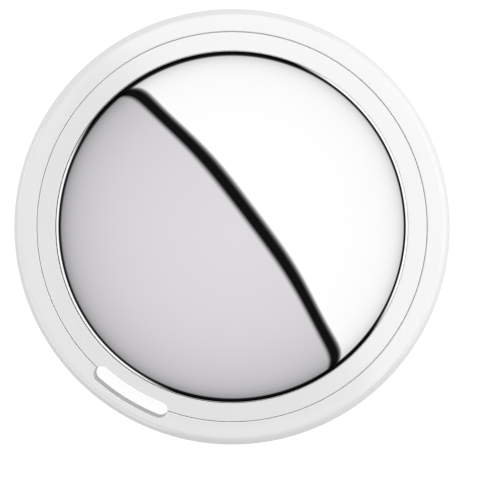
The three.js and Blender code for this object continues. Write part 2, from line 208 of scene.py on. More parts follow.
def prism(name, outline, low, high, edge=0.0):
    """An outline of (x, y) points pushed from low to high, with its end edges rounded by edge."""
    piece = lofted(name, [[(x, y, z) for x, y in outline] for z in (low, high)])
    if edge:
        bm = bmesh.new()
        bm.from_mesh(piece.data)
        caps = [e for e in bm.edges if abs(e.verts[0].co.z - e.verts[1].co.z) < 1e-7]
        bmesh.ops.bevel(bm, geom=caps, offset=edge * MM, segments=3, affect="EDGES", profile=0.5)
        bm.to_mesh(piece.data)
        bm.free()
    return piece


def arc(radius, start, end, steps, centre=(0, 0)):
    angles = [start + (end - start) * i / steps for i in range(steps + 1)]
    return [(centre[0] + radius * math.cos(a), centre[1] + radius * math.sin(a)) for a in angles]


def sector(name, inner, outer, start, end, low, high, edge=0.0):
    steps = max(6, int(abs(end - start) * FINE / (2 * math.pi)))
    outline = arc(outer, start, end, steps) + arc(inner, end, start, steps)
    return prism(name, outline, low, high, edge)


def baked(piece):
    """Applies the modifiers of a piece to its mesh."""
    shape = piece.evaluated_get(bpy.context.evaluated_depsgraph_get())
    mesh = bpy.data.meshes.new_from_object(shape)
    old = piece.data
    piece.modifiers.clear()
    piece.data = mesh
    bpy.data.meshes.remove(old)
    return piece


def combined(piece, tools, operation):
    """Joins or cuts a piece with each tool in turn, and removes the tools."""
    for tool in tools:
        step = piece.modifiers.new("step", "BOOLEAN")
        step.operation = operation
        step.solver = "EXACT"
        step.object = tool
        bpy.context.view_layer.update()
        baked(piece)
        bpy.data.objects.remove(tool)
    return piece


def smooth(piece):
    """Shades a piece smooth with sharp edges kept, its large faces flat."""
    piece.data.shade_smooth()
    piece.data.set_sharp_from_angle(angle=SHARP_ANGLE)
    weighted = piece.modifiers.new("weighted normals", "WEIGHTED_NORMAL")
    weighted.keep_sharp = True


# ---- the lanyard slot -------------------------------------------------------------------

SLOT_RADIUS = 14.43
SLOT_HALF_WIDTH = 0.61
SLOT_LENGTH = 6.2
SLOT_MOUTH = 0.06        # rounding of the slot's edges
FRONT_EDGE = (2.9, 3.0)  # the rounded front edge, across and up


def front_height(radius):
    """Height of the front face at a radius."""
    share = (radius - (TAG_RADIUS - FRONT_EDGE[0])) / FRONT_EDGE[0]
    if share <= 0:
        return 0.0
    return FRONT_EDGE[1] * (1 - math.sqrt(max(0.0, 1 - share * share)))


def slot_outline(grow):
    """The slot seen from above, wider by grow on each side."""
    half = SLOT_HALF_WIDTH + grow
    swing = (SLOT_LENGTH / 2 - SLOT_HALF_WIDTH) / SLOT_RADIUS
    start, end = -math.pi / 2 - swing, -math.pi / 2 + swing
    ends = [(SLOT_RADIUS * math.cos(a), SLOT_RADIUS * math.sin(a)) for a in (start, end)]
    return (arc(SLOT_RADIUS + half, start, end, 40)[:-1]
            + arc(half, end, end + math.pi, 24, ends[1])[:-1]
            + arc(SLOT_RADIUS - half, end, start, 40)[:-1]
            + arc(half, start + math.pi, start + 2 * math.pi, 24, ends[0])[:-1])


def slot_cutter():
    """The slot's space, flared at both mouths so that it leaves rounded edges."""
    turns = [math.radians(90 * i / 6) for i in range(7)]
    grows = [SLOT_MOUTH * (1 - math.cos(t)) for t in turns]
    depths = [SLOT_MOUTH * (1 - math.sin(t)) for t in turns]
    depths[-1] = -0.004                 # the last ring stands just clear of the face
    front, back = [], []
    for grow, depth in zip(grows, depths):
        outline = slot_outline(grow)
        front.append([(x, y, front_height(math.hypot(x, y)) + depth) for x, y in outline])
        back.append([(x, y, back_height(math.hypot(x, y)) - depth) for x, y in outline])
    widest = slot_outline(SLOT_MOUTH)
    below = [(x, y, -1) for x, y in widest]
    above = [(x, y, RING_TOP + 1) for x, y in widest]
    return lofted("slot_cutter", [below, *reversed(front), *back, above])


# ---- housing ----------------------------------------------------------------------------

BACK_SLOPE = math.tan(math.radians(3.5))   # the white back face falls gently outwards
CROWN_START = 14.3                         # from here outwards it falls more and more
CROWN = 0.044
SHOULDER = 15.42                           # the softened back edge starts here, with a crease
BACK_EDGE = (0.78, 0.86)                   # semi-axes of that edge's ellipse
MOUTH_DROP = 0.05                          # how far below the flat CAD face it starts
SEAM_DEPTH = 0.2                           # the seam narrows below this depth
SEAM_FOOT = 0.028                          # and is this wide there
SEAM_EDGE = 0.05                           # rounding of its two edges
BORE_EDGE = 0.025                          # rounding of the ring's edge round the cover
COVER_GAP = 0.03                           # how close that edge comes to the cover
COVER_PLAY = 0.026                         # how far off the centre its circle is
COVER_PLAY_ANGLE = 200                     # and which way, as across() takes it
HOLD = 0.03                                # a loop this near each edge keeps the face between even


def back_height(radius):
    fall = BACK_SLOPE * (radius - RING_BORE) + CROWN * max(0, radius - CROWN_START) ** 2
    return RING_TOP - MOUTH_DROP - fall


def back_face(outer, inner, steps=6):
    """Points of the back face between the edges at two radii."""
    radii = [outer - HOLD + (inner - outer + 2 * HOLD) * i / steps for i in range(steps + 1)]
    return [(r, back_height(r)) for r in radii]


def back_edge():
    """The softened edge, from the widest point of the tag up to its crease with the back face."""
    wide, tall = BACK_EDGE
    start = math.degrees(math.acos((SHOULDER - TAG_RADIUS + wide) / wide))
    low = back_height(SHOULDER) - tall * math.sin(math.radians(start))
    return ellipse((TAG_RADIUS - wide, low), BACK_EDGE, 0, start, 24)


def front_shell():
    """The white cup: rounded front edge, back face up to the seam, and the click plate's hole."""
    bore = RING_RADIUS + SEAM_GAP
    foot = RING_RADIUS + SEAM_FOOT
    hole = 9.6
    lip = bore + SEAM_EDGE
    return turned("front_shell_skin", [
        (hole, 0.12), (hole + 0.035, 0.035), (hole + 0.12, 0),
        *ellipse((TAG_RADIUS - FRONT_EDGE[0], FRONT_EDGE[1]), FRONT_EDGE, -90, 0, 28),
        *back_edge(), *back_face(SHOULDER, lip),
        *ellipse((lip, back_height(lip) - SEAM_EDGE), (SEAM_EDGE, SEAM_EDGE), 90, 180, 4),
        (bore, RING_TOP - SEAM_DEPTH), (foot, RING_TOP - SEAM_DEPTH - 0.03),
        (foot, SHELL_FLOOR), (hole, SHELL_FLOOR),
    ])


def back_ring():
    """The white ring round the cover, with three ledges and three stops for the cover's lugs."""
    lower_bore = 12.75
    tray_seat = 3.8
    shoulder = 5.7
    mouth_foot = RING_TOP - 0.3
    ledge_low, ledge_top = 6.45, 6.95
    lip = RING_RADIUS - SEAM_EDGE
    mouth = COVER_RADIUS + COVER_GAP
    brow = mouth + BORE_EDGE
    piece = turned("back_ring_skin", [
        (lower_bore, SHELL_FLOOR + 0.05), (RING_RADIUS, SHELL_FLOOR + 0.05),
        *ellipse((lip, back_height(lip) - SEAM_EDGE), (SEAM_EDGE, SEAM_EDGE), 0, 90, 4),
        *back_face(lip, brow),
        *ellipse((brow, back_height(brow) - BORE_EDGE), (BORE_EDGE, BORE_EDGE), 90, 180, 5),
        (mouth, mouth_foot), (RING_BORE, mouth_foot - 0.05),
        (RING_BORE, shoulder), (LEDGE_RADIUS, shoulder),
        (LEDGE_RADIUS, tray_seat), (lower_bore, tray_seat),
    ])
    for vertex in piece.data.vertices:
        radius = math.hypot(vertex.co.x, vertex.co.y) / MM
        if radius < brow + 0.001 and vertex.co.z / MM > mouth_foot - 0.02:
            vertex.co += across(COVER_PLAY_ANGLE) * COVER_PLAY * MM
    fittings = []
    for middle in LUG_ANGLES:
        fittings.append(sector("ledge", LEDGE_RADIUS, LEDGE_ROOT, middle + LUG_GAP_HALF,
                               middle + 2 * math.pi / 3 - LUG_GAP_HALF, ledge_low, ledge_top, 0.08))
        fittings.append(sector("stop", LEDGE_RADIUS + 0.01, LEDGE_ROOT + 0.01, middle + STOP_START,
                               middle + STOP_END, shoulder - 0.1, LUG_TOP + 0.2))
    return combined(piece, fittings, "UNION")


# ---- plain round pieces -----------------------------------------------------------------

def disc(node, hole=0.0, edge=0.04):
    """A disc or a ring with softened edges, as large as its CAD node."""
    low, high, outer = bottom(node), top(node), reach(node)
    rim = [(outer, low, edge), (outer, high, edge)]
    if hole:
        outline = [(hole, low, edge), *rim, (hole, high, edge)]
    else:
        outline = [(0, low), *rim, (0, high)]
    return turned(node + "_skin", rounded(outline, 3), MEDIUM)


# ---- battery cover ----------------------------------------------------------------------

def dome_height(radius):
    """The polished dome: nearly a sphere in the middle, steeper towards its rim."""
    share = radius / DOME_RADIUS
    fall = (1 - RIM_SHARE) * share ** 2 + RIM_SHARE * share ** 6
    return COVER_SHOULDER + (COVER_TOP - COVER_SHOULDER) * (1 - fall)


def dome_line(depth, start, end, steps):
    """Points along the dome between two radii, at a depth below its polished surface."""
    radii = [start + (end - start) * i / steps for i in range(steps + 1)]
    return [(r, dome_height(r) - depth) for r in radii]


def cover_adhesive():
    """A glue ring between the steel sheet and its carrier."""
    inner, outer = 7.0, 11.6
    lower_face, upper_face = 0.35, 0.27  # depths below the dome
    return turned("cover_adhesive_skin", [
        *dome_line(lower_face, inner, outer, 16), *dome_line(upper_face, outer, inner, 16)], MEDIUM)


def steel_cover():
    """The dome runs smoothly into a rolled edge, with a skirt under it."""
    tilt = math.atan((COVER_TOP - COVER_SHOULDER) * (2 + 4 * RIM_SHARE) / DOME_RADIUS)
    corner = 0.04
    roll = (COVER_EDGE - corner * (1 - math.sin(EDGE_LEAN))) / (math.sin(EDGE_LEAN) - math.sin(tilt))
    centre = (DOME_RADIUS - roll * math.sin(tilt), COVER_SHOULDER - roll * math.cos(tilt))
    brow = (COVER_RADIUS - corner, centre[1] + (roll - corner) * math.cos(EDGE_LEAN))
    lean = 90 - math.degrees(EDGE_LEAN)
    inside = COVER_RADIUS - COVER_SHEET
    skirt = bottom("steel_cover")
    return turned("steel_cover_skin", [
        *dome_line(COVER_SHEET, 0, DOME_RADIUS - 0.3, 40),
        (inside - 0.06, COVER_SHOULDER - 0.38), (inside, COVER_SHOULDER - 0.5),
        (inside, skirt + 0.05), (inside + 0.05, skirt),
        (COVER_RADIUS - 0.05, skirt), (COVER_RADIUS, skirt + 0.05),
        *ellipse(brow, (corner, corner), 0, lean, 5)[:-1],
        *ellipse(centre, (roll, roll), lean, 90 - math.degrees(tilt), 24),
        *dome_line(0, DOME_RADIUS - 0.1, 0, 90),
    ])


def bayonet_carrier():
    """The plastic disc under the cover: a wall, three lugs, a rebate and moulding marks."""
    outside = 12.15
    wall_inside = 11.3
    low = bottom("bayonet_carrier")
    underside = 7.35
    lug_radius = 12.8
    mark_radius, mark_circle = 0.7, 8.9
    piece = turned("bayonet_carrier_skin", rounded([
        (0, underside), (6.35, underside), (6.35, underside + 0.12, 0.05), (6.9, underside + 0.12, 0.05),
        (6.9, underside, 0.05), (wall_inside, underside, 0.1), (wall_inside, low, 0.1),
        (outside, low, 0.1), (outside, 7.45),
    ]) + dome_line(0.37, outside - 0.05, 0, 40), MEDIUM)
    lugs = [sector("lug", outside - 0.3, lug_radius, middle - LUG_HALF, middle + LUG_HALF,
                   low + 0.002, LUG_TOP, 0.07) for middle in LUG_ANGLES]
    marks = []
    for angle in LUG_ANGLES:
        turn = angle + math.pi / 3
        centre = (mark_circle * math.cos(turn), mark_circle * math.sin(turn))
        outline = arc(mark_radius, 0, 2 * math.pi, 32, centre)[:-1]
        marks.append(prism("mark", outline, underside - 1, underside + 0.06))
    return combined(combined(piece, lugs, "UNION"), marks, "DIFFERENCE")


def cover_gasket():
    """A silicone ring with a bead on each face."""
    low, high = bottom("cover_gasket"), top("cover_gasket")
    inner, outer = 10.3, 10.9
    middle = (inner + outer) / 2
    shrink = 0.09
    return turned("cover_gasket_skin", rounded([
        (inner, low + shrink, 0.06), (middle - 0.16, low + shrink, 0.05), (middle - 0.1, low, 0.06),
        (middle + 0.1, low, 0.06), (middle + 0.16, low + shrink, 0.05), (outer, low + shrink, 0.06),
        (outer, high - shrink, 0.06), (middle + 0.16, high - shrink, 0.05), (middle + 0.1, high, 0.06),
        (middle - 0.1, high, 0.06), (middle - 0.16, high - shrink, 0.05), (inner, high - shrink, 0.06),
    ], 3), MEDIUM)


def foam_pad():
    """The pad that presses on the cell, with a rounder edge below."""
    low, high = bottom("foam_pad"), top("foam_pad")
    radius = reach("foam_pad")
    return turned("foam_pad_skin", rounded([
        (0, low), (radius, low, 0.09), (radius, high, 0.05), (0, high),
    ]), MEDIUM)


# ---- coin cell --------------------------------------------------------------------------

def cell_can():
    """The steel can with its pressed step, crimped lip and a plus sign on its face."""
    outer = reach("cell_can")
    high = top("cell_can")
    lip = bottom("cell_can")
    sheet = 0.25
    piece = turned("cell_can_skin", [
        (0, high - sheet), *rounded([
            (outer - sheet, high - sheet, 0.3), (outer - sheet, lip + 0.5, 0.25),
            (9.15, lip + 0.2), (9.15, lip), (outer, lip, 0.35), (outer, high, 0.45),
        ], 8),
        (9.08, high), (9.05, high), (8.95, high - 0.03), (8.7, high - 0.03), (8.6, high),
        (8.6 - HOLD, high), (0, high),
    ], MEDIUM)
    arm, half, deep = 1.8, 0.32, 0.15    # the plus sign, at plus_place from the middle
    plus_place = -5.2
    bars = []
    for length, width in ((arm, half), (half, arm)):
        outline = [(length, -width), (length, width), (-length, width), (-length, -width)]
        shifted = [(x, y + plus_place) for x, y in outline]
        bars.append(prism("bar", shifted, high - deep, high + 1))
    return combined(piece, bars, "DIFFERENCE")


def cell_cap():
    """The cell's lower cup, turned up at its edge."""
    low = bottom("cell_cap")
    high = top("cell_cap")
    outer = reach("cell_cap")
    inside = outer - 0.25
    return turned("cell_cap_skin", [
        (0, low), *rounded([(outer, low, 0.3), (outer, high, 0.05), (inside, high, 0.05),
                            (inside, low + 0.3, 0.1)], 6), (0, low + 0.25),
    ], MEDIUM)


def battery_tray():
    """The well: floor, wall, flange, windows for the side contacts and the bottom opening."""
    bore = 10.2
    outside = 11.0
    low = bottom("battery_tray")
    floor = 3.55
    flange, flange_top = reach("battery_tray"), 3.75
    window_depth, window_width, window_top = 1.25, 3.1, 6.3
    piece = turned("battery_tray_skin", rounded([
        (0, low), (flange, low, 0.06), (flange, flange_top, 0.06), (outside, flange_top, 0.1),
        (outside, top("battery_tray"), 0.12), (bore, top("battery_tray"), 0.12),
        (bore, floor, 0.12), (0, floor),
    ]), MEDIUM)
    cuts = []
    for node in ("positive_contact_a", "positive_contact_b"):
        lowest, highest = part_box(node)
        middle = (lowest + highest) / 2 / MM
        along = Vector((middle.x, middle.y)).normalized()
        side = Vector((-along.y, along.x))
        centre = along * (bore - 0.05)
        outline = [centre + along * a * window_depth / 2 + side * b * window_width / 2
                   for a, b in ((1, -1), (1, 1), (-1, 1), (-1, -1))]
        cuts.append(prism("window", [tuple(p) for p in outline], low - 1, window_top))
    opening = [(4.2, -1.6), (4.2, 1.6), (-4.2, 1.6), (-4.2, -1.6)]
    cuts.append(prism("opening", opening, low - 1, floor + 1))
    return combined(piece, cuts, "DIFFERENCE")


def click_plate():
    """The pressable centre of the front face, with a softened edge and a flange behind."""
    face = bottom("click_plate")
    radius = 9.45
    inside = 0.85
    flange = reach("click_plate")
    return turned("click_plate_skin", rounded([
        (0, face), (radius, face, 0.14), (radius, inside, 0.02), (flange, inside, 0.05),
        (flange, top("click_plate"), 0.08), (9.0, top("click_plate"), 0.05),
        (9.0, inside, 0.1), (0, inside),
    ]))


# ---- materials --------------------------------------------------------------------------

class Graph:
    """Adds nodes to one shader tree."""

    def __init__(self, tree):
        self.tree = tree

    def node(self, kind, inputs=(), **settings):
        made = self.tree.nodes.new(kind)
        for name, value in settings.items():
            setattr(made, name, value)
        for key, value in dict(inputs).items():
            if isinstance(value, bpy.types.NodeSocket):
                self.tree.links.new(value, made.inputs[key])
            else:
                made.inputs[key].default_value = value
        return made

    def math(self, operation, *values):
        return self.node("ShaderNodeMath", enumerate(values), operation=operation).outputs[0]

    def range(self, value, low, high, to_low=0.0, to_high=1.0, smooth=True):
        """Carries a value from one range to another, and holds it at the ends."""
        kind = "SMOOTHSTEP" if smooth else "LINEAR"
        made = self.node("ShaderNodeMapRange", {"Value": value, "From Min": low, "From Max": high,
                                                "To Min": to_low, "To Max": to_high},
                         interpolation_type=kind)
        return made.outputs["Result"]


def material(name, color, roughness, metallic=0.0, **sockets):
    """A material with its shader, and the graph to add detail with."""
    made = bpy.data.materials.new(name)
    made.use_nodes = True
    shader = made.node_tree.nodes["Principled BSDF"]
    shader.inputs["Base Color"].default_value = (*color, 1)
    shader.inputs["Roughness"].default_value = roughness
    shader.inputs["Metallic"].default_value = metallic
    for socket, value in sockets.items():
        shader.inputs[socket.replace("_", " ")].default_value = value
    graph = Graph(made.node_tree)
    place = graph.node("ShaderNodeTexCoord").outputs["Object"]
    return made, shader, graph, place


def add_grain(graph, shader, place, size, height, roughness, color):
    """Noise of a real size in metres: raises the surface, and varies roughness and colour."""
    noise = graph.node("ShaderNodeTexNoise", {"Vector": place, "Scale": 1 / size, "Detail": 3.0})
    level = noise.outputs["Fac"]
    bump = graph.node("ShaderNodeBump", {"Height": level, "Distance": height, "Strength": 1.0})
    graph.tree.links.new(bump.outputs["Normal"], shader.inputs["Normal"])
    graph.tree.links.new(graph.range(level, 0.3, 0.7, *roughness, smooth=False), shader.inputs["Roughness"])
    mix = graph.node("ShaderNodeMix", {0: level, 6: (*color[0], 1), 7: (*color[1], 1)}, data_type="RGBA")
    graph.tree.links.new(mix.outputs[2], shader.inputs["Base Color"])


def white_plastic():
    made, shader, graph, place = material("white plastic", (0.81, 0.81, 0.82), 0.125)
    add_grain(graph, shader, place, 0.0012, 1.2e-7, (0.115, 0.135),
              ((0.805, 0.805, 0.815), (0.815, 0.815, 0.825)))
    return made


def mirror_steel():
    """Polished steel: faint cloudiness from handling, and no bump that would bend reflections."""
    made, shader, graph, place = material("mirror steel", (0.92, 0.917, 0.924), 0.008, 1.0)
    clouds = graph.node("ShaderNodeTexNoise", {"Vector": place, "Scale": 1 / 0.005, "Detail": 2.0})
    level = clouds.outputs["Fac"]
    graph.tree.links.new(graph.range(level, 0.3, 0.7, 0.004, 0.011), shader.inputs["Roughness"])
    mix = graph.node("ShaderNodeMix", {0: level, 6: (0.915, 0.912, 0.919, 1), 7: (0.925, 0.922, 0.929, 1)},
                     data_type="RGBA")
    graph.tree.links.new(mix.outputs[2], shader.inputs["Base Color"])
    return made


def black_plastic():
    made, shader, graph, place = material("black plastic", (0.022, 0.022, 0.024), 0.5)
    add_grain(graph, shader, place, 0.00012, 4e-6, (0.42, 0.6), ((0.018, 0.018, 0.02), (0.028, 0.028, 0.03)))
    return made


def silicone():
    made, shader, graph, place = material("silicone", (0.13, 0.13, 0.14), 0.6, Sheen_Weight=0.2)
    add_grain(graph, shader, place, 0.0002, 3e-6, (0.5, 0.7), ((0.11, 0.11, 0.12), (0.15, 0.15, 0.16)))
    return made


def foam():
    made, shader, graph, place = material("foam", (0.05, 0.05, 0.052), 0.95)
    cells = graph.node("ShaderNodeTexVoronoi", {"Vector": place, "Scale": 1 / 0.00022})
    bump = graph.node("ShaderNodeBump", {"Height": cells.outputs["Distance"], "Distance": 4e-5,
                                         "Strength": 1.0})
    graph.tree.links.new(bump.outputs["Normal"], shader.inputs["Normal"])
    mix = graph.node("ShaderNodeMix", {0: cells.outputs["Distance"], 6: (0.02, 0.02, 0.021, 1),
                                       7: (0.075, 0.075, 0.078, 1)}, data_type="RGBA")
    graph.tree.links.new(mix.outputs[2], shader.inputs["Base Color"])
    return made


def brushed_steel(name, color):
    """Steel with fine turned rings about the Z axis."""
    ring_width = 0.00006
    made, shader, graph, place = material(name, color, 0.3, 1.0)
    split = graph.node("ShaderNodeSeparateXYZ", {0: place})
    radius = graph.math("SQRT", graph.math("ADD", graph.math("MULTIPLY", split.outputs[0], split.outputs[0]),
                                           graph.math("MULTIPLY", split.outputs[1], split.outputs[1])))
    rings = graph.node("ShaderNodeCombineXYZ", {0: radius, 1: split.outputs[2]})
    add_grain(graph, shader, rings.outputs[0], ring_width, 3e-8, (0.28, 0.34),
              (tuple(0.97 * c for c in color), tuple(min(1, 1.03 * c) for c in color)))
    return made


def speckled(name, low, high, roughness, metallic=0.0, size=0.0002, height=2e-6):
    """A plain material with a fine grain between two colours."""
    made, shader, graph, place = material(name, low, roughness[0], metallic)
    add_grain(graph, shader, place, size, height, roughness, (low, high))
    return made


def board_mask():
    """Green solder mask over copper tracks."""
    made, shader, graph, place = material("board mask", (0.008, 0.07, 0.03), 0.35)
    bricks = graph.node("ShaderNodeTexBrick", {
        "Vector": place, "Scale": 1 / 0.0016, "Color1": (0.006, 0.055, 0.025, 1),
        "Color2": (0.007, 0.062, 0.028, 1), "Mortar": (0.014, 0.11, 0.05, 1), "Mortar Size": 0.07})
    graph.tree.links.new(bricks.outputs["Color"], shader.inputs["Base Color"])
    bump = graph.node("ShaderNodeBump", {"Height": bricks.outputs["Fac"], "Distance": 1e-5, "Strength": 1.0})
    graph.tree.links.new(bump.outputs["Normal"], shader.inputs["Normal"])
    return made


MATERIALS = {
    "white_plastic": white_plastic(),
    "mirror_steel": mirror_steel(),
    "black_plastic": black_plastic(),
    "adhesive": speckled("adhesive", (0.58, 0.52, 0.38), (0.68, 0.62, 0.48), (0.35, 0.55)),
    "foam": foam(),
    "silicone": silicone(),
    "cell_steel": brushed_steel("cell steel", (0.62, 0.62, 0.63)),
    "cell_plastic": speckled("cell plastic", (0.02, 0.02, 0.024), (0.04, 0.04, 0.045), (0.5, 0.7)),
    "cathode_mix": speckled("cathode mix", (0.012, 0.012, 0.012), (0.03, 0.03, 0.03), (0.8, 0.95)),
    "lithium": speckled("lithium", (0.40, 0.41, 0.42), (0.52, 0.53, 0.54), (0.4, 0.6), 0.8, height=4e-7),
    "board_mask": board_mask(),
    "chip_epoxy": speckled("chip epoxy", (0.012, 0.012, 0.013), (0.022, 0.022, 0.023), (0.45, 0.65)),
    "metal_can": speckled("metal can", (0.56, 0.56, 0.57), (0.66, 0.66, 0.67), (0.25, 0.4), 1.0, height=2e-7),
    "ceramic_body": speckled("ceramic body", (0.50, 0.45, 0.37), (0.60, 0.55, 0.46), (0.4, 0.6)),
    "ferrite": speckled("ferrite", (0.035, 0.035, 0.036), (0.06, 0.06, 0.06), (0.5, 0.75)),
    "contact_metal": speckled("contact metal", (0.74, 0.62, 0.36), (0.78, 0.66, 0.40), (0.3, 0.36), 1.0,
                              height=5e-8),
    "piezo_brass": brushed_steel("piezo brass", (0.74, 0.54, 0.22)),
    "piezo_white": speckled("piezo white", (0.68, 0.65, 0.57), (0.76, 0.73, 0.65), (0.3, 0.45)),
}
SLOTS = {part["node"]: part["material_slot"] for part in frame["record"]["subparts"]}
BODIES = {node: body for body, nodes in frame["record"]["behaviour"]["bodies"].items() for node in nodes}


# ---- pieces on their bodies -------------------------------------------------------------

def dress(piece, node):
    """Gives a fine piece its material and puts it in the place of its CAD node."""
    piece.data.materials.clear()
    piece.data.materials.append(MATERIALS[SLOTS[node]])
    smooth(piece)
    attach(piece, BODIES[node])
    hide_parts(node)
    return piece


for node, build in {
        "front_shell": lambda: combined(front_shell(), [slot_cutter()], "DIFFERENCE"),
        "back_ring": lambda: combined(back_ring(), [slot_cutter()], "DIFFERENCE"),
        "steel_cover": steel_cover,
        "bayonet_carrier": bayonet_carrier,
        "foam_pad": foam_pad,
        "cover_gasket": cover_gasket,
        "cell_can": cell_can,
        "cell_cap": cell_cap,
        "battery_tray": battery_tray,
        "click_plate": click_plate,
        "cover_adhesive": cover_adhesive,
        "cell_seal": lambda: disc("cell_seal", 8.94),
        "cell_cathode": lambda: disc("cell_cathode", edge=0.1),
        "cell_anode": lambda: disc("cell_anode", edge=0.1),
        "return_ring": lambda: disc("return_ring", 9.15, 0.08),
        "piezo_plate": lambda: disc("piezo_plate", edge=0.02),
        "piezo_ceramic": lambda: disc("piezo_ceramic", edge=0.02),
        "actuator_pad": lambda: disc("actuator_pad", edge=0.08),
        "switch_plunger": lambda: disc("switch_plunger", edge=0.08),
}.items():
    piece = dress(build(), node)

SOFT_EDGE = 0.04         # rounding of the edges of the CAD pieces that stay

for node, cad_piece in frame["nodes"].items():
    cad_piece.data.materials.clear()
    cad_piece.data.materials.append(MATERIALS[SLOTS[node]])
    if not cad_piece.hide_render:
        softened = cad_piece.modifiers.new("softened edges", "BEVEL")
        softened.width = SOFT_EDGE * MM
        softened.segments = 2
        softened.limit_method = "ANGLE"
        softened.angle_limit = math.radians(50)


# ---- floor, light and camera ------------------------------------------------------------

PALE = 0.72              # how bright the backdrop and the floor far from the tag look
FLOOR_GLOW = 0.92        # what the floor near the tag gives off, as the camera sees it
FLOOR_GLOW_ENDS = (26 * MM, 46 * MM)       # where the glow starts to fade, and where it is PALE
FLOOR_SHADE = 0.15       # how much light the floor reflects besides, as the camera sees it
FLOOR_DROP = 0.01 * MM   # how far the floor lies below the tag's front face
FLOOR_PASS = 0.5 * MM    # rays that meet the floor this soon go through it


def pale_floor():
    """A pale floor that the camera sees glow round the tag, as an overexposed sweep does. It is
    one-sided, and rays that meet it close to where they start pass, so that the front face can
    be seen from below."""
    bm = bmesh.new()
    bmesh.ops.create_grid(bm, x_segments=4, y_segments=4, size=0.5 / MM)
    floor = finished("floor", bm)
    floor.location.z = -FLOOR_DROP
    made, shader, graph, place = material("pale floor", (0.45, 0.45, 0.45), 0.9)
    shader.inputs["Emission Color"].default_value = (1, 1, 1, 1)
    shader.inputs["Emission Strength"].default_value = 0.37
    radius = graph.node("ShaderNodeVectorMath", {0: place}, operation="LENGTH").outputs["Value"]
    glow = graph.range(radius, *FLOOR_GLOW_ENDS, FLOOR_GLOW, PALE - FLOOR_SHADE)
    sweep = graph.node("ShaderNodeBsdfPrincipled", {
        "Base Color": (FLOOR_SHADE, FLOOR_SHADE, FLOOR_SHADE, 1), "Roughness": 0.9,
        "Emission Color": (1, 1, 1, 1), "Emission Strength": glow})
    ray = graph.node("ShaderNodeLightPath").outputs
    blend = graph.node("ShaderNodeMixShader", {
        0: ray["Is Camera Ray"], 1: shader.outputs[0], 2: sweep.outputs[0]})
    near = graph.math("LESS_THAN", ray["Ray Length"], FLOOR_PASS)
    passes = graph.math("MAXIMUM", graph.node("ShaderNodeNewGeometry").outputs["Backfacing"], near)
    clear = graph.node("ShaderNodeBsdfTransparent")
    whole = graph.node("ShaderNodeMixShader", {0: passes, 1: blend.outputs[0], 2: clear.outputs[0]})
    graph.tree.links.new(whole.outputs[0], made.node_tree.nodes["Material Output"].inputs["Surface"])
    floor.data.materials.append(made)


def dot(graph, direction, axis):
    """The component of a direction along an axis."""
    made = graph.node("ShaderNodeVectorMath", {0: direction, 1: tuple(axis)}, operation="DOT_PRODUCT")
    return made.outputs["Value"]


LEFT_SOFTBOX = (0.79, 0.0085, 0.2)         # brightness overhead, its fall per degree, and its
RIGHT_SOFTBOX = (1.1, 0.003, 0.3)          # further fall at the edge
SOFTBOX_EDGE = 30.2      # degrees from overhead where the two softboxes end, over EDGE_WIDTH
EDGE_WIDTH = 1.0
EDGE_SOFTNESS = 8.0      # the higher, the closer to the edge the further fall keeps
SPILL = (0.02, 0.003)    # what is left just outside the edge, and at SPILL_END and beyond
SPILL_END = 36.0
LEFT_TINT = (1.004, 0.984, 1.012)
BLACK = 0.0065           # what the gap between the softboxes gives off
BLACK_ENDS = (29, 32)    # degrees from overhead between which that fades to nothing
GAP_AZIMUTH = 37.1       # the two overhead softboxes face each other along this direction
GAP_PLACE = 0.018        # how far from overhead the dark gap between them runs
GAP_HALF = 0.0061
GAP_FLARE = 0.0426
GAP_BEND = 0.009         # how far the gap's ends bend back, at GAP_BEND_AT along it
GAP_BEND_AT = 0.4555
LEFT_FADE = (-0.55, -1.4)                  # each softbox comes up to full brightness between these,
RIGHT_FADE = (0.28, 1.22)                  # in half gaps from the gap's middle


def softbox_level(graph, from_zenith, overhead, slope, fall):
    """How bright an overhead softbox is at an angle from overhead, with its soft edge and spill."""
    share = graph.math("DIVIDE", from_zenith, SOFTBOX_EDGE)
    edge_fall = graph.math("MULTIPLY", graph.math("POWER", share, EDGE_SOFTNESS), fall)
    level = graph.math("MULTIPLY_ADD", from_zenith, -slope, overhead)
    level = graph.math("SUBTRACT", level, edge_fall)
    outside = SOFTBOX_EDGE + EDGE_WIDTH
    inside = graph.range(from_zenith, SOFTBOX_EDGE, outside, 1.0, 0.0, smooth=False)
    spill = graph.range(from_zenith, outside, SPILL_END, *SPILL, smooth=False)
    return graph.math("MAXIMUM", graph.math("MULTIPLY", level, inside), spill)


